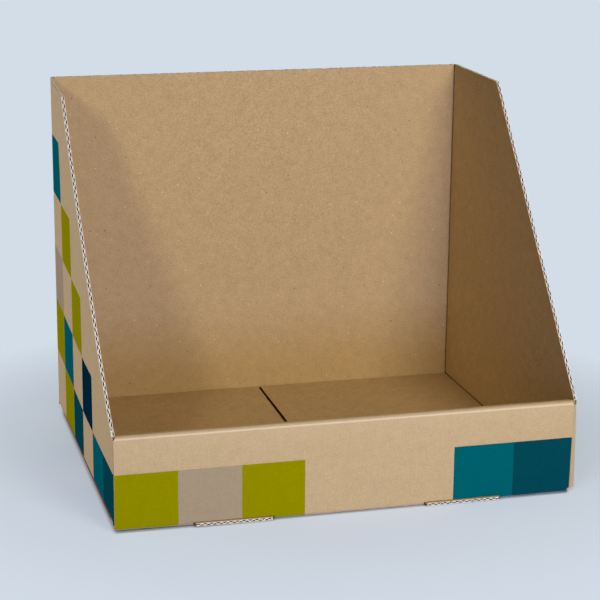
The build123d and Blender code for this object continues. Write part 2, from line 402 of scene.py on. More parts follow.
def base_run(sizes, p, across, along):
    """Foot of the back wall, base, front wall, roll-over top and lining, folded about level creases.

    Each end is a line of knots over the distance. At the front's lower right corner it steps in by the
    torn corner's width. Tongue notches, slots and what stands beside the tabs are cells cut away.
    """
    top_mid = sizes.front_height - sizes.board / 2
    line = FoldedLine([(p.back_mid, p.outer_radius), (p.back_mid, p.base_mid), (p.front_mid, p.base_mid),
                       (p.front_mid, top_mid), (p.lining_mid, top_mid), (p.lining_mid, sizes.gap)], p.radius)
    back_bend, front_bend, crest, roll = line.bends
    slot_half = sizes.board / 2 + sizes.lock_clearance
    slot = [front_bend[0] - (place - p.front_mid - p.radius)
            for place in (p.lining_mid + slot_half, p.lining_mid - slot_half)]
    tab = line.length - (p.wall_bottom - sizes.gap)
    fold = (front_bend[0] + front_bend[1]) / 2
    torn = (front_bend[0] - sizes.nick_height, front_bend[1] + sizes.nick_height - p.outer_radius)
    s = line.samples(along, slot + [tab, fold] + [place + extra for place in torn for extra in (0, STEP)])

    wide = p.half_width
    clear = wide - sizes.board - sizes.gap
    ends = []
    for side, inset, nick in ((-1, sizes.left_inset, 0.0), (1, sizes.right_inset, sizes.nick)):
        base_end, front_end = wide - sizes.base_inset, wide - inset
        knots = [(0, wide - sizes.relief), (back_bend[1], wide - sizes.relief),
                 (back_bend[1] + STEP, base_end), (torn[0], base_end), (torn[0] + STEP, base_end - nick),
                 (fold, base_end - nick), (fold + STEP, front_end - nick), (torn[1], front_end - nick),
                 (torn[1] + STEP, front_end), (crest[0], front_end), (crest[1], min(clear, front_end)),
                 (roll[0], wide - sizes.lining_inset)]
        ends.append(side * steps(s, knots))
    tongue_half = sizes.tongue_width / 2 + sizes.tongue_clearance
    slot_wide = sizes.lock_width / 2 + sizes.lock_clearance
    centres = (-sizes.lock_offset, sizes.lock_offset)
    cuts = [middle + side * half for middle in centres for side in (-1, 1)
            for half in (tongue_half, slot_wide, sizes.lock_width / 2)]
    inner = wide - sizes.lining_inset - sizes.board
    x = spread(-inner, inner, across, cuts)
    b = np.concatenate([ends[0][:, None], np.repeat(x[None], len(s), axis=0), ends[1][:, None]], axis=1)

    cell_s = (s[:-1] + s[1:])[:, None] / 2
    cell_x = (b[:-1, :-1] + b[:-1, 1:]) / 2
    off = np.min([np.abs(cell_x - middle) for middle in centres], axis=0)
    notch = (off < tongue_half) & (cell_s > front_bend[0]) & (cell_s < front_bend[1])
    slotted = (off < slot_wide) & (cell_s > slot[0]) & (cell_s < slot[1])
    below = (off > sizes.lock_width / 2) & (cell_s > tab)
    face = np.where((cell_s > front_bend[0]) & (cell_s < crest[0]), "front", "plain")
    # The rubbing and painted highlight on the front crest sit nearer to its front, and on the other bends at
    # their middle
    rubbed_and_highlight_at = np.array([0.5, 0.5, 0.2, 0.5])
    return stretch(line, s, b, ACROSS, face, keep=~(notch | slotted | below), rub_highlight_at=rubbed_and_highlight_at)


def tongue_runs(sizes, p, across):
    """The two flat tongues of the base that stand out through the front crease."""
    line = FoldedLine([(p.front + p.outer_radius, p.base_mid), (p.front - sizes.tongue_reach, p.base_mid)],
                      p.radius)
    s = line.samples(sizes.tongue_slant, [p.outer_radius])
    half = sizes.tongue_width / 2 - steps(s, [(p.outer_radius, 0), (line.length, sizes.tongue_slant)])
    t = spread(-1, 1, across / (sizes.tongue_width / 2))
    return [stretch(line, s, middle + half[:, None] * t, ACROSS)
            for middle in (-sizes.lock_offset, sizes.lock_offset)]


def floor_runs(sizes, p, across, along):
    """The two flaps that turn in from the side walls and lie on the base."""
    runs = []
    y = spread(p.floor_front, p.floor_back, across)
    for side in (-1, 1):
        line = FoldedLine([(side * p.side_mid, p.floor_crease_top), (side * p.side_mid, p.floor_mid),
                           (side * sizes.split_back / 2, p.floor_mid)], p.radius)
        s = line.samples(along)
        # The fold from the wall into the flap takes the long-cut brown, which paints the shade under the fold
        face = np.where(line.cells_between(s, 0, 0), "long_cut_shade", "plain")
        # The split's cut ends get the shaded finish, a dark colour that paints the shade in the split
        runs.append(stretch(line, s, np.repeat(y[None], len(s), axis=0), DEEP, face, outward=side,
                            end="shaded"))
    return runs


def board_runs(sizes, across, along):
    """Every stretch of the blank, sampled at a step across the flutes and one along them."""
    p = blank_places(sizes)
    return ([wall_run(sizes, p, across, along), base_run(sizes, p, across, along)]
            + tip_runs(sizes, p, across) + tongue_runs(sizes, p, across)
            + floor_runs(sizes, p, across, along))


def wall_lean(x, y, z, p, loose):
    """How far a side wall's point stands outward of its upright place.

    The share u runs from 0 at the back to nearly 1 at the front. At its upper edge the left wall stands
    out by its corner plus its lean times the hyperbolic tangent of u over its reach to the power of the
    onset, all times the root of 1 - u. The right wall's upper edge stands out by its lean times the same
    tangent, with its own reach, less its fade times u, and its foot by its own amount times u to the
    power of the foot's rise. Between foot and edge the share of the edge is the share of the height to
    the power of the edge's rise, squared on the left, or of the corner's rise for the corner, whose heel
    fades in a straight line to the top.
    """
    left_reach, right_reach, onset, right_fade = 0.3, 0.25, 1.2, 0.3
    edge_rise, corner_rise, foot_rise = 3, 1.5, 0.9
    u = np.clip((p.back - y) / (p.back - p.front), 0, 0.985)
    edge = np.minimum(p.height, p.height - (p.slope_top - y) * p.slope)
    share = np.clip(z / edge, 0, 1) ** edge_rise
    up = np.clip(z / p.height, 0, 1)
    left = loose.left_lean * np.tanh((u / left_reach) ** onset) * share ** 2
    left += loose.left_corner * up ** corner_rise + loose.left_heel * (1 - up)
    left *= np.sqrt(1 - u)
    right = loose.right_lean * np.tanh((u / right_reach) ** onset) * (1 - right_fade * u) * share
    right += loose.right_foot * u ** foot_rise * (1 - share)
    return np.where(x < 0, -left, right)


def settled(points, sizes, loose):
    """Move straight panels to where the springy board really stands.

    Side walls and dust flaps move outward by the walls' lean. The back wall's ends follow it by the
    square of the share of the width, and the wall bows by a sine arch. The floor flaps follow the foot
    of the wall in proportion to x, rise in a straight line to the split, and leave a split that widens
    in a straight line towards the front. The front wall grows longer at its right end with the height.
    The left front corner lifts by the product of the squared shares of the way left and forward, fading
    in a straight line with the height.
    """
    p = blank_places(sizes)
    x, y, z = points[..., 0], points[..., 1], points[..., 2]
    moved = points.copy()
    aside = np.abs(x) / p.half_width
    lean = wall_lean(x, y, z, p, loose)
    on_side = ((aside > 1 - 2 * sizes.board / p.half_width) & (y > p.front_mid + sizes.board / 2)
               & (z > p.wall_bottom - sizes.gap / 2))
    on_back = (y > p.back - 2 * sizes.board) & (z > p.wall_bottom - sizes.gap / 2)
    in_dust = (np.abs(y - p.dust_mid) < p.step / 2) & (z > p.wall_bottom - STEP) & (z < p.dust_top + STEP)
    in_floor = ((z > p.wall_bottom - sizes.gap / 2) & (z < p.floor_mid + sizes.board)
                & (y > p.floor_front - sizes.gap) & (y < p.floor_back + sizes.gap) & ~on_side)
    on_front = (y < p.front_mid + sizes.board / 2 + STEP) & (z > p.wall_bottom)
    moved[..., 0] += np.where(on_side | in_dust, lean, 0)
    moved[..., 0] += np.where(on_back & ~on_side, lean * aside ** 2, 0)
    arch = np.sin(np.clip(z / p.height, 0, 1) * math.pi / 2) * np.cos(np.clip(aside, 0, 1) * math.pi / 2)
    moved[..., 1] -= np.where(on_back, loose.back_bow * arch, 0)
    rise = np.clip(1 - np.abs(x) / p.side_mid, 0, 1)
    wider = (sizes.split_front - sizes.split_back) / 2 * (p.back - y) / (p.back - p.front)
    moved[..., 0] += np.where(in_floor, lean * aside + np.sign(x) * wider * rise, 0)
    moved[..., 2] += np.where(in_floor, loose.flap_lift * rise, 0)
    moved[..., 0] += np.where(on_front, loose.front_skew * np.clip(x / p.half_width, 0, 1) * z
                              / sizes.front_height, 0)
    forward = np.clip((p.back - y) / (p.back - p.front), 0, 1)
    corner = np.clip(-x / p.half_width, 0, 1) ** 2 * forward ** 2
    moved[..., 2] += loose.front_lift * corner * np.clip(1 - z / sizes.front_height, 0, 1)
    return moved


def closed_sheet(front, back, keep):
    """Close two grids of points into one thin sheet.

    Each kept cell gives a face on the front grid and one, reversed, on the back grid. Wherever a kept
    cell has no kept neighbour, a rim face joins the two grids. Kinds are 0 front, 1 back, 2 a rim at the
    ends of the rows and 3 a rim at the ends of the columns.
    """
    rows, columns = front.shape[:2]
    index = np.arange(rows * columns).reshape(rows, columns)
    corner = [index[:-1, :-1], index[1:, :-1], index[1:, 1:], index[:-1, 1:]]
    padded = np.pad(keep, 1)
    neighbours = [padded[1:-1, :-2], padded[2:, 1:-1], padded[1:-1, 2:], padded[:-2, 1:-1]]
    count = rows * columns
    front_faces = np.stack([c[keep] for c in corner], axis=-1)
    faces, kinds = [front_faces, front_faces[:, ::-1] + count], [0, 1]
    counts = [len(front_faces), len(front_faces)]
    for side in range(4):
        open_edge = keep & ~neighbours[side]
        a, b = corner[side][open_edge], corner[(side + 1) % 4][open_edge]
        faces.append(np.stack([b, a, a + count, b + count], axis=-1))
        kinds.append(2 + side % 2)
        counts.append(len(a))
    points = np.concatenate([front.reshape(-1, 3), back.reshape(-1, 3)])
    return points, np.concatenate(faces), np.repeat(kinds, counts)


def enclosed_volume(points, faces):
    """Signed volume inside closed quads: a sixth of the sum of the triangles' triple products."""
    a, b, c, d = (points[faces[:, k]] for k in range(4))
    return (np.einsum("ij,ij->i", a, np.cross(b, c)) + np.einsum("ij,ij->i", a, np.cross(c, d))).sum() / 6


def layer_offsets(run, sizes, loose, layer, across):
    """How far a paper's two faces lie outward of the middle of the board, at each point of a stretch.

    A liner's faces keep their distance. The inner liner is pushed out by the groove times the nearness
    of a crease. At the edges along the flutes the outer liner's inner face runs to the middle of the
    inner liner, which closes the board. The fluting's middle is a sine wave of the distance across the
    flutes, crushed near a crease by a share of the nearness at several times the groove's reach. Its
    faces lie half its paper away, times the root of one plus the wave's squared slope. Its paper is
    thicker where flutes are cut open, and thickest where a cut edge is level and the flutes are pressed.
    """
    crushed_share, crushed_reach = 0.85, 3
    s = run.s[:, None] + 0 * run.b
    crease = run.line.nearness(s, loose.groove_half)
    ends, sides = [0, -1], (slice(None), [0, -1])
    closed, opened = (ends, sides) if run.axis == UPRIGHT else (sides, ends)
    half = sizes.board / 2
    if layer == "outer":
        inner_face = half - sizes.liner + 0 * s
        inner_face[closed] = sizes.liner / 2 - half
        return half + 0 * s, inner_face
    if layer == "inner":
        return sizes.liner - half + loose.groove * crease, loose.groove * crease - half
    paper = np.full_like(s, sizes.paper)
    paper[opened] = sizes.burr
    if run.axis == UPRIGHT:
        paper[run.b[:, -1] > HIGH[2] - STEP, -1] = sizes.flattened
    crushed = run.line.nearness(s, crushed_reach * loose.groove_half)
    height = (half - sizes.liner - paper / 2) * (1 - crushed_share * crushed)
    turns = 2 * math.pi / sizes.pitch
    wave = height * np.sin(turns * across) + loose.groove / 2 * crease
    half_paper = paper / 2 * np.sqrt(1 + (height * turns * np.cos(turns * across)) ** 2)
    return wave + half_paper, wave - half_paper


def face_names(run, sizes, layer, points, faces, kinds):
    """The finish of each face: its wall's on the shown side of a liner, and its cut's on a rim."""
    # Faces inside the board get the shaded finish, whose dark core colour is painted shade
    names = np.full(len(kinds), "shaded", dtype=object)
    if layer != "fluting":
        names[kinds == (0 if layer == "outer" else 1)] = run.face[run.keep]
    names[kinds == 2] = "cut"
    names[kinds == 3] = run.end
    # Rims along the flutes near the floor take the long-cut brown, partly painted shade under the walls
    along_flutes = kinds == (3 if run.axis == UPRIGHT else 2)
    low = points[faces[along_flutes], 2].mean(axis=1) < sizes.board
    names[along_flutes] = np.where(low, "long_cut_shade", "shaded" if layer == "fluting" else "plain")
    return names


def layer_sheet(run, sizes, loose, layer, seed):
    """One paper of one stretch of board, as a closed sheet.

    A point is the fold line's, moved along its normal by the paper's offset and settled. The cut upper
    edges are frayed by small random heights.
    """
    random = np.random.default_rng(seed)
    point, normal = run.line.at(run.s)
    s = run.s[:, None] + 0 * run.b
    across, along = (s, run.b) if run.axis == UPRIGHT else (run.b, s)
    grids = []
    for offset in layer_offsets(run, sizes, loose, layer, across):
        flat = point[:, None] + normal[:, None] * (run.outward * offset)[..., None]
        parts = [flat[..., 0], flat[..., 1]]
        parts.insert(run.axis, run.b)
        grid = settled(np.stack(parts, axis=-1), sizes, loose)
        if run.axis == UPRIGHT:
            grid[:, -1, 2] += random.normal(0, loose.edge_tear, len(grid))
        grids.append(grid)
    points, faces, kinds = closed_sheet(*grids, run.keep)
    if enclosed_volume(points, faces) < 0:
        faces = faces[:, ::-1]
    # On the outer liner the fold value marks the rubbed line and its painted highlight
    if layer == "outer":
        fold = run.line.nearness(s, loose.rub_highlight_half, run.rub_highlight_at)
    else:
        # On the other papers the fold value marks a crease's groove, where the inner liner gets painted shade
        fold = run.line.nearness(s, loose.groove_half)
    uv = np.stack([across, along], axis=-1).reshape(-1, 2)
    return SimpleNamespace(points=points, faces=faces, uv=np.tile(uv, (2, 1)), fold=np.tile(fold.ravel(), 2),
                           names=face_names(run, sizes, layer, points, faces, kinds))


def paper_piece(name, layer, across, along, finishes):
    """Join one paper's sheets from every stretch of the blank into one object."""
    sizes, loose = bpy.context.scene.board_sizes, bpy.context.scene.settling
    sheets = [layer_sheet(run, sizes, loose, layer, seed)
              for seed, run in enumerate(board_runs(sizes, across, along))]
    starts = np.cumsum([0] + [len(sheet.points) for sheet in sheets[:-1]])
    points = np.concatenate([sheet.points for sheet in sheets])
    faces = np.concatenate([sheet.faces + start for sheet, start in zip(sheets, starts)])
    names = np.concatenate([sheet.names for sheet in sheets])
    used, faces = np.unique(faces, return_inverse=True)
    faces = faces.reshape(-1, 4)

    mesh = bpy.data.meshes.new(name)
    mesh.vertices.add(len(used))
    mesh.vertices.foreach_set("co", points[used].ravel())
    mesh.loops.add(faces.size)
    mesh.loops.foreach_set("vertex_index", faces.ravel())
    mesh.polygons.add(len(faces))
    mesh.polygons.foreach_set("loop_start", np.arange(0, faces.size, 4))
    mesh.polygons.foreach_set("use_smooth", np.ones(len(faces), bool))
    for finish in finishes.values():
        mesh.materials.append(finish)
    order = list(finishes)
    # A wall whose print isn't on this paper has its plain finish
    slots = np.full(len(names), order.index("plain") if "plain" in order else 0)
    for slot, part in enumerate(order):
        slots[names == part] = slot
    mesh.polygons.foreach_set("material_index", slots)
    mesh.update(calc_edges=True)
    mesh.validate()

    uv = np.concatenate([sheet.uv for sheet in sheets])[used]
    mesh.uv_layers.new(name="board")
    mesh.uv_layers["board"].data.foreach_set("uv", uv[faces.ravel()].ravel())
    # The fold value carries the painted highlight on outer folds and the painted shade in inner creases
    fold = mesh.attributes.new("fold", "FLOAT", "POINT")
    fold.data.foreach_set("value", np.concatenate([sheet.fold for sheet in sheets])[used])
    mesh.set_sharp_from_angle(angle=SHARP_ANGLE)

    piece = bpy.data.objects.new(name, mesh)
    bpy.context.scene.collection.objects.link(piece)
    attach(piece, BODY)
    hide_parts(NODE)
    return piece


class Tree:
    """A short way to add nodes to a node tree and link them."""

    def __init__(self, tree):
        self.tree = tree

    def node(self, kind, inputs=None, **settings):
        """Add a node, set what it is told, and link or set its inputs by name or number."""
        node = self.tree.nodes.new(kind)
        for key, value in settings.items():
            setattr(node, key, value)
        for key, value in (inputs or {}).items():
            if isinstance(value, bpy.types.NodeSocket):
                self.tree.links.new(value, node.inputs[key])
            else:
                node.inputs[key].default_value = value
        return node

    def link(self, value, socket):
        """Link an output to an input."""
        self.tree.links.new(value, socket)

    def math(self, operation, *values):
        """A Math node's result."""
        return self.node("ShaderNodeMath", dict(enumerate(values)), operation=operation).outputs[0]

    def vector(self, operation, *values):
        """A Vector Math node's result."""
        return self.node("ShaderNodeVectorMath", dict(enumerate(values)), operation=operation).outputs[0]

    def mix(self, factor, first, second):
        """A colour mixed from two by a factor."""
        return self.node("ShaderNodeMix", {0: factor, 6: first, 7: second}, data_type="RGBA").outputs[2]

    def range(self, value, from_low, from_high, to_low, to_high):
        """A value carried from one range to another and held inside it."""
        inputs = dict(enumerate((value, from_low, from_high, to_low, to_high)))
        return self.node("ShaderNodeMapRange", inputs).outputs[0]

    def centred(self, value, weight, mean):
        """A value's distance from its mean, times a weight."""
        return self.math("MULTIPLY_ADD", value, weight, -weight * mean)


def new_material(name):
    """An empty material and its tree."""
    material = bpy.data.materials.new(name)
    material.use_nodes = True
    material.node_tree.nodes.clear()
    return material, Tree(material.node_tree)


def new_group(name, inputs, outputs):
    """A shader node group with named sockets, and its tree, input and output nodes."""
    group = bpy.data.node_groups.new(name, "ShaderNodeTree")
    for label, kind, default in inputs:
        socket = group.interface.new_socket(name=label, in_out="INPUT", socket_type=kind)
        socket.default_value = default
    for label, kind in outputs:
        group.interface.new_socket(name=label, in_out="OUTPUT", socket_type=kind)
    tree = Tree(group)
    return group, tree, tree.node("NodeGroupInput").outputs, tree.node("NodeGroupOutput").inputs


def fibre_group():
    """Kraft paper: soft mottling, a fine grain, and a scatter of pale and dark flecks.

    Clouds, grain and two crossing sets of strands are noises, each taken from its mean and weighted. One
    plus their sum times the mottle multiplies the paper's colour. A fleck is where the place, bent by a
    noise, lies within a random reach of a Voronoi cell's point, and the cell's chance makes it dark, pale
    or nothing.
    """
    inputs = [("Paper", "NodeSocketColor", (0.5, 0.4, 0.3, 1)), ("Mottle", "NodeSocketFloat", 0.12),
              ("Flecks", "NodeSocketFloat", 1.0)]
    outputs = [("Color", "NodeSocketColor"), ("Height", "NodeSocketFloat")]
    group, tree, given, result = new_group("kraft_fibres", inputs, outputs)
    place = tree.node("ShaderNodeTexCoord").outputs["Object"]
    cloud_scale, strand_scale, grain_scale, bend_scale, fleck_scale = 180, 700, 1500, 900, 230
    cloud_weight, strand_weight, grain_weight = 0.7, 0.5, 2.2
    narrow, long = 2.2, 0.35
    fleck_bend, least_fleck, fleck_spread = 0.0006, 0.035, 0.08
    dark_chance, dark_share, dark_fleck = 0.1, 0.6, (0.05, 0.03, 0.015, 1)
    pale_chance, pale_share, pale_fleck = 0.2, 0.7, (0.75, 0.68, 0.46, 1)

    def noise(scale, detail, along=(1, 1, 1)):
        spot = tree.node("ShaderNodeMapping", {"Vector": place, "Scale": along}).outputs[0]
        return tree.node("ShaderNodeTexNoise", {"Vector": spot, "Scale": scale, "Detail": detail,
                                                "Roughness": 0.6}).outputs[0]

    clouds, grain = noise(cloud_scale, 4), noise(grain_scale, 2)
    strands = tree.math("ADD", noise(strand_scale, 2, (long, 1, narrow)),
                        noise(strand_scale, 2, (narrow, 1, long)))
    tone = tree.math("ADD", tree.centred(clouds, cloud_weight, 0.5), tree.centred(grain, grain_weight, 0.5))
    tone = tree.math("ADD", tone, tree.centred(strands, strand_weight, 1.0))
    shade = tree.math("MULTIPLY_ADD", tone, given["Mottle"], 1.0)
    mottled = tree.vector("MULTIPLY", given["Paper"], shade)

    bend = tree.node("ShaderNodeTexNoise", {"Vector": place, "Scale": bend_scale, "Detail": 2})
    bent = tree.vector("MULTIPLY_ADD", bend.outputs["Color"], (fleck_bend,) * 3, place)
    spots = tree.node("ShaderNodeTexVoronoi", {"Vector": bent, "Scale": fleck_scale})
    chance = tree.node("ShaderNodeSeparateColor", {0: spots.outputs["Color"]})
    reach = tree.math("MULTIPLY_ADD", chance.outputs[1], fleck_spread, least_fleck)
    inside = tree.math("MULTIPLY", tree.math("LESS_THAN", spots.outputs["Distance"], reach), given["Flecks"])
    dark = tree.math("MULTIPLY", inside, tree.math("LESS_THAN", chance.outputs[0], dark_chance))
    pale = tree.math("MULTIPLY", inside, tree.math("GREATER_THAN", chance.outputs[0], 1 - pale_chance))
    darkened = tree.mix(tree.math("MULTIPLY", dark, dark_share), mottled, dark_fleck)
    tree.link(tree.mix(tree.math("MULTIPLY", pale, pale_share), darkened, pale_fleck), result["Color"])
    tree.link(tree.math("ADD", grain, strands), result["Height"])
    return group


def flute_group(pitch):
    """The faint ribs that the fluting leaves in a liner: a sine of the map's distance across the flutes."""
    group, tree, given, result = new_group("flute_ribs", [("Depth", "NodeSocketFloat", 1.0)],
                                           [("Height", "NodeSocketFloat")])
    spot = tree.node("ShaderNodeUVMap", uv_map="board").outputs[0]
    across = tree.node("ShaderNodeSeparateXYZ", {0: spot}).outputs[0]
    wave = tree.math("SINE", tree.math("MULTIPLY", across, 2 * math.pi / pitch))
    tree.link(tree.math("MULTIPLY", wave, given["Depth"]), result["Height"])
    return group


def squares_group(name, axis, edges, rows, inks, blank):
    """Printed squares on one wall: the cell number picks the ink, by counting edges that lie behind.

    A row's edge is a height. On a side wall, which runs along y, it is a height at the back and a fall
    from there to the front, of which the slanted share of the depth gets its share.
    """
    outputs = [("Color", "NodeSocketColor"), ("Mask", "NodeSocketFloat")]
    group, tree, _, result = new_group(name, [], outputs)
    place = tree.node("ShaderNodeSeparateXYZ", {0: tree.node("ShaderNodeTexCoord").outputs["Object"]}).outputs
    if axis == "Y":
        p = blank_places(bpy.context.scene.board_sizes)
        slanted = bpy.context.scene.print_colours.slanted
        slant_end = p.back - slanted * (p.back - p.front)
        share = tree.range(place["Y"], p.back, slant_end, 0.0, slanted)
        rows = [tree.math("MULTIPLY_ADD", share, -fall, height) for height, fall in rows]

    def cell(value, borders):
        number = 0.0
        for border in borders:
            number = tree.math("ADD", tree.math("GREATER_THAN", value, border), number)
        return number

    columns = len(edges) + 1
    across, up = cell(place[axis], edges), cell(place["Z"], rows)
    number = tree.math("MULTIPLY_ADD", up, float(columns), across)
    cells = columns * (len(rows) + 1)
    spot = tree.math("DIVIDE", tree.math("ADD", number, 0.5), float(cells))
    changes, last = [], None
    for k in range(cells):
        ink = inks.get((k % columns, k // columns))
        if ink != last:
            changes.append((k, ink))
            last = ink
    for label, pick in (("Color", lambda ink: (*ink, 1) if ink else (*blank, 1)),
                        ("Mask", lambda ink: (1, 1, 1, 1) if ink else (0, 0, 0, 1))):
        ramp_node = tree.node("ShaderNodeValToRGB", {0: spot})
        ramp = ramp_node.color_ramp
        ramp.interpolation = "CONSTANT"
        ramp.elements.remove(ramp.elements[1])
        ramp.elements[0].position = 0
        ramp.elements[0].color = pick(inks.get((0, 0)))
        for k, ink in changes[1:]:
            ramp.elements.new(k / cells).color = pick(ink)
        tree.link(ramp_node.outputs[0], result[label])
    return group


def paper_material(name, paper, fibres, ribs, mottle=0.24, rib_depth=1.0, fold_wear_and_painted_light=None, squares=None,
                   frayed=False):
    """A sheet of kraft paper, bare or printed, with its fibres, faint ribs and tinted folds: rubbing and a
    painted highlight on outer folds, painted shade in inner creases.

    A fold's tint is weaker where the fibres stand high. The frayed fibres of a cut edge lean to the front,
    so there the normal is the sum of the face's own and a forward one, made one long again.
    """
    rib_share, bump_strength, bump_height = 0.35, 0.35, 0.00004
    inked_mottle, tint_break_share, forward_lean = 0.7, 0.6, -1.5
    tint_break_from, tint_break_to, smooth_at, rough_at, smooth, rough = 0.8, 1.6, 0.5, 2.0, 0.8, 0.95
    material, tree = new_material(name)
    bare = tree.node("ShaderNodeGroup", node_tree=fibres)
    bare.inputs["Paper"].default_value = (*paper, 1)
    bare.inputs["Mottle"].default_value = mottle
    colour, grain = bare.outputs["Color"], bare.outputs["Height"]
    rib_node = tree.node("ShaderNodeGroup", node_tree=ribs)
    rib_node.inputs["Depth"].default_value = rib_depth
    if squares:
        ink = tree.node("ShaderNodeGroup", node_tree=squares).outputs
        inked = tree.node("ShaderNodeGroup", node_tree=fibres)
        tree.link(ink["Color"], inked.inputs["Paper"])
        inked.inputs["Mottle"].default_value = mottle * inked_mottle
        inked.inputs["Flecks"].default_value = 0.0
        colour = tree.mix(ink["Mask"], colour, inked.outputs["Color"])
    # Folds are tinted: rubbing and a painted highlight outside, painted shade in a crease inside
    if fold_wear_and_painted_light:
        tint, share = fold_wear_and_painted_light
        fold = tree.node("ShaderNodeAttribute", attribute_name="fold").outputs["Fac"]
        broken = tree.range(grain, tint_break_from, tint_break_to, share, share * tint_break_share)
        colour = tree.mix(tree.math("MULTIPLY", fold, broken), colour, (*tint, 1))
    height = tree.math("MULTIPLY_ADD", rib_node.outputs["Height"], rib_share, grain)
    normal = tree.node("ShaderNodeBump", {"Height": height, "Strength": bump_strength,
                                          "Distance": bump_height}).outputs[0]
    if frayed:
        forward = tree.node("ShaderNodeVectorTransform", {0: (0, forward_lean, 0)}, vector_type="VECTOR",
                            convert_from="OBJECT", convert_to="WORLD").outputs[0]
        normal = tree.vector("NORMALIZE", tree.vector("ADD", normal, forward))
    roughness = tree.range(grain, smooth_at, rough_at, smooth, rough)
    shader = tree.node("ShaderNodeBsdfPrincipled", {"Base Color": colour, "Roughness": roughness,
                                                    "Normal": normal, "Specular IOR Level": 0.0})
    tree.node("ShaderNodeOutputMaterial", {0: shader.outputs[0]})
    return material


def printed_squares(colours):
    """The three printed walls' groups of squares, by wall."""
    p = blank_places(bpy.context.scene.board_sizes)
    green, taupe, teal, deep, navy = (tuple(getattr(colours, ink))
                                      for ink in ("green", "taupe", "teal", "deep_teal", "navy"))
    side, blank = colours.square, tuple(colours.outer)
    left_edges = [colours.shift - p.half_width + side * k for k in (1, 2, 3)]
    right_edges = [colours.shift + p.half_width - side * k for k in (2, 1)]
    front_inks = {(0, 0): green, (1, 0): taupe, (2, 0): green, (4, 0): teal, (5, 0): deep}
    edges = [colours.first_row + colours.row * k for k in range(len(colours.lifts))]
    rows = [(edge + lift, fall) for edge, lift, fall in zip(edges, colours.lifts, colours.falls)]
    columns = 6
    side_edges = [p.front + (p.back - p.front) * k / columns for k in range(1, columns)]
    side_inks = {(5, 1): green, (5, 2): taupe, (5, 4): teal, (4, 0): green, (4, 1): teal, (4, 3): green,
                 (3, 0): deep, (3, 2): green, (2, 1): navy, (1, 0): teal, (0, 0): deep}
    right_inks = {cell: ink for cell, ink in side_inks.items() if cell != (0, 0)}
    return {
        "front": squares_group("front_squares", "X", left_edges + right_edges, edges[:1], front_inks, blank),
        "left": squares_group("left_squares", "Y", side_edges, rows, side_inks, blank),
        "right": squares_group("right_squares", "Y", side_edges, rows, right_inks, blank),
    }


def paper_finishes(kind):
    """Materials of one paper: its shown faces by wall, the faces inside the board, and its cut edge."""
    colours, sizes = bpy.context.scene.print_colours, bpy.context.scene.board_sizes
    fibres = bpy.data.node_groups.get("kraft_fibres") or fibre_group()
    ribs = bpy.data.node_groups.get("flute_ribs") or flute_group(sizes.pitch)
    # The shaded finish is painted shade, and the long-cut finish is partly painted shade
    inside = {"shaded": ("core_kraft", colours.core), "cut": ("cut_paper", colours.cut),
              "long_cut_shade": ("long_cut_kraft", colours.long_cut_shade)}
    finishes = {}
    for part, (name, paper) in inside.items():
        finishes[part] = bpy.data.materials.get(name) or paper_material(
            name, paper, fibres, ribs, rib_depth=0.0, frayed=part == "cut")
    if kind == "inner":
        # The inner liner's creases get painted shade
        finishes["plain"] = paper_material("inner_liner_kraft", colours.inner, fibres, ribs, mottle=0.38,
                                           fold_wear_and_painted_light=(colours.crease_shade, 0.9))
    elif kind == "outer":
        # Outer folds get a pale tint: rubbing and a painted highlight
        rubbed_and_highlight = (colours.rubbed_and_highlight, 0.9)
        finishes["plain"] = paper_material("outer_liner_kraft", colours.outer, fibres, ribs, fold_wear_and_painted_light=rubbed_and_highlight)
        for wall, squares in printed_squares(colours).items():
            finishes[wall] = paper_material(f"printed_{wall}_kraft", colours.outer, fibres, ribs,
                                            fold_wear_and_painted_light=rubbed_and_highlight, squares=squares)
    return finishes


class DISPLAY_OT_outer_liner(bpy.types.Operator):
    """Fold the printed outer paper"""
    bl_idname = "display.outer_liner"
    bl_label = "Outer Liner"

    def execute(self, context):
        pitch = context.scene.board_sizes.pitch
        paper_piece("outer_liner", "outer", pitch / LINER_CELLS, LINER_STEP, paper_finishes("outer"))
        return {"FINISHED"}


class DISPLAY_OT_inner_liner(bpy.types.Operator):
    """Fold the bare inner paper"""
    bl_idname = "display.inner_liner"
    bl_label = "Inner Liner"

    def execute(self, context):
        pitch = context.scene.board_sizes.pitch
        paper_piece("inner_liner", "inner", pitch / LINER_CELLS, LINER_STEP, paper_finishes("inner"))
        return {"FINISHED"}


class DISPLAY_OT_fluting(bpy.types.Operator):
    """Fold the wavy paper between the liners"""
    bl_idname = "display.fluting"
    bl_label = "Fluting"

    def execute(self, context):
        pitch = context.scene.board_sizes.pitch
        paper_piece("fluting", "fluting", pitch / FLUTING_CELLS, FLUTING_STEP, paper_finishes("fluting"))
        return {"FINISHED"}


def camera_sees(tree):
    """One where the camera looks, straight, by reflection or through glass."""
    path = tree.node("ShaderNodeLightPath").outputs
    mirrored = tree.math("MAXIMUM", path["Is Glossy Ray"], path["Is Transmission Ray"])
    return tree.math("MAXIMUM", path["Is Camera Ray"], mirrored)


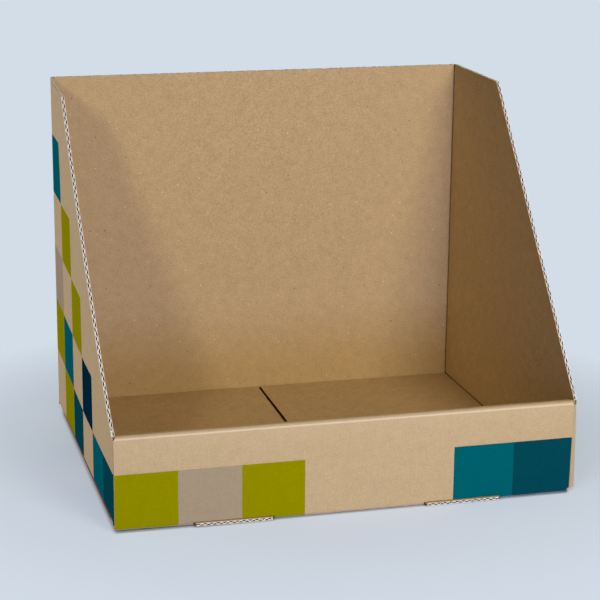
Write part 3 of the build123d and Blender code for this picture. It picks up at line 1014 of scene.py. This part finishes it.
def floor_material(settings):
    """A pale floor that takes light and shadow by the stand and fades into the backdrop further out.

    Its paper fades to black between the near and the far reach, to the camera alone. Added to it is the
    backdrop's own colour, whose share rises over the same way from the near glow to one, and which the
    board shades at its foot by the square of the open share of the air within the contact reach.
    """
    material, tree = new_material("pale_floor")
    place = tree.node("ShaderNodeTexCoord").outputs["Object"]
    away = tree.node("ShaderNodeVectorMath", {0: place}, operation="LENGTH").outputs["Value"]
    reach = (settings.near_reach, settings.far_reach)
    seen = camera_sees(tree)
    fading = tree.math("MULTIPLY", seen, tree.range(away, *reach, 0.0, 1.0))
    matt = tree.node("ShaderNodeBsdfDiffuse", {"Color": tree.mix(fading, (*settings.floor, 1), (0, 0, 0, 1))})
    open_air = tree.node("ShaderNodeAmbientOcclusion", {"Distance": settings.contact}).outputs["AO"]
    share = tree.math("MULTIPLY", tree.range(away, *reach, settings.near_glow, 1.0),
                      tree.math("MULTIPLY", open_air, open_air))
    glow = tree.node("ShaderNodeEmission", {"Color": (*settings.backdrop, 1),
                                            "Strength": tree.math("MULTIPLY", seen, share)})
    both = tree.node("ShaderNodeAddShader", {0: matt.outputs[0], 1: glow.outputs[0]})
    tree.node("ShaderNodeOutputMaterial", {0: both.outputs[0]})
    return material


def build_world(settings):
    """A world that lights nothing and shows the camera the backdrop's colour."""
    world = bpy.data.worlds.new("pale_room")
    bpy.context.scene.world = world
    world.use_nodes = True
    world.node_tree.nodes.clear()
    tree = Tree(world.node_tree)
    sky = tree.node("ShaderNodeBackground", {"Color": (*settings.backdrop, 1), "Strength": camera_sees(tree)})
    tree.node("ShaderNodeOutputWorld", {0: sky.outputs[0]})


def add_lamp(name, azimuth, elevation, distance, width, height, aim, watts, colour, lit=None):
    """A rectangular lamp aimed at the stand, turned left of the front by the azimuth and raised.

    Where a collection is given, the lamp lights only what is in it, and everything still casts a shadow.
    """
    lamp = bpy.data.lights.new(name, "AREA")
    lamp.shape = "RECTANGLE"
    lamp.size = width
    lamp.size_y = height
    lamp.energy = watts
    lamp.color = colour
    turn, rise = math.radians(azimuth), math.radians(elevation)
    back = Vector((-math.sin(turn) * math.cos(rise), -math.cos(turn) * math.cos(rise), math.sin(rise)))
    lamp_object = bpy.data.objects.new(name, lamp)
    facing = back.to_track_quat("Z", "Y").to_matrix().to_4x4()
    lamp_object.matrix_world = Matrix.Translation(Vector((0, 0, aim)) + back * distance) @ facing
    bpy.context.scene.collection.objects.link(lamp_object)
    if lit:
        lamp_object.light_linking.receiver_collection = lit


def add_camera(settings):
    """The camera of the photograph: yawed, pitched down and rolled a little, on a long lens."""
    yaw, pitch, roll = settings.camera_yaw, settings.camera_pitch, settings.camera_roll
    forward = np.array([math.sin(yaw) * math.cos(pitch), math.cos(yaw) * math.cos(pitch), -math.sin(pitch)])
    right = np.array([math.cos(yaw), -math.sin(yaw), 0])
    up = np.cross(right, forward)
    rolled = math.cos(roll) * right + math.sin(roll) * up
    upright = math.cos(roll) * up - math.sin(roll) * right
    camera = bpy.data.cameras.new("photo_camera")
    camera.lens = settings.lens
    camera.sensor_width = settings.sensor
    camera.clip_start = 0.01
    camera_object = bpy.data.objects.new("photo_camera", camera)
    turn = Matrix(np.column_stack([rolled, upright, -forward]).tolist()).to_4x4()
    camera_object.matrix_world = Matrix.Translation(settings.camera_place) @ turn
    bpy.context.scene.collection.objects.link(camera_object)
    bpy.context.scene.camera = camera_object


class DISPLAY_OT_stage(bpy.types.Operator):
    """Set the pale floor, the lamps and the camera"""
    bl_idname = "display.stage"
    bl_label = "Stage"

    def execute(self, context):
        settings = context.scene.stage_settings
        reach = settings.floor_half
        mesh = bpy.data.meshes.new("floor")
        mesh.from_pydata([(-reach, -reach, 0), (reach, -reach, 0), (reach, reach, 0), (-reach, reach, 0)],
                         [], [(0, 1, 2, 3)])
        mesh.materials.append(floor_material(settings))
        floor = bpy.data.objects.new("floor", mesh)
        context.scene.collection.objects.link(floor)
        build_world(settings)
        ground = bpy.data.collections.new("ground")
        ground.objects.link(floor)
        for name, azimuth, elevation, distance, width, height, watts, colour in LAMPS:
            add_lamp(name, azimuth, elevation, distance, width, height, settings.aim,
                     getattr(settings, watts), getattr(settings, colour),
                     ground if name == "floor_lamp" else None)
        add_camera(settings)
        context.scene.view_settings.view_transform = "Standard"
        return {"FINISHED"}


class DISPLAY_PT_panel(bpy.types.Panel):
    """Buttons that build the display, and its settings"""
    bl_label = "Folded Counter Display"
    bl_idname = "DISPLAY_PT_panel"
    bl_space_type = "VIEW_3D"
    bl_region_type = "UI"
    bl_category = "Display"

    def draw(self, context):
        layout = self.layout
        for operator in OPERATORS:
            layout.operator(operator.bl_idname)
        for name, group in SETTINGS.items():
            box = layout.box()
            box.label(text=group.__doc__)
            for key in group.__annotations__:
                box.prop(getattr(context.scene, name), key)


SETTINGS = {"board_sizes": BoardSizes, "settling": SettlingSizes, "print_colours": PrintColours,
            "stage_settings": StageSettings}
OPERATORS = (DISPLAY_OT_outer_liner, DISPLAY_OT_inner_liner, DISPLAY_OT_fluting, DISPLAY_OT_stage)
CLASSES = tuple(SETTINGS.values()) + OPERATORS + (DISPLAY_PT_panel,)


def register():
    for cls in CLASSES:
        bpy.utils.register_class(cls)
    for name, group in SETTINGS.items():
        setattr(bpy.types.Scene, name, PointerProperty(type=group))


def unregister():
    for name in SETTINGS:
        delattr(bpy.types.Scene, name)
    for cls in reversed(CLASSES):
        bpy.utils.unregister_class(cls)


def main():
    """Build every piece and the stage."""
    register()
    bpy.ops.display.outer_liner()
    bpy.ops.display.inner_liner()
    bpy.ops.display.fluting()
    bpy.ops.display.stage()


if __name__ == "__main__":
    main()
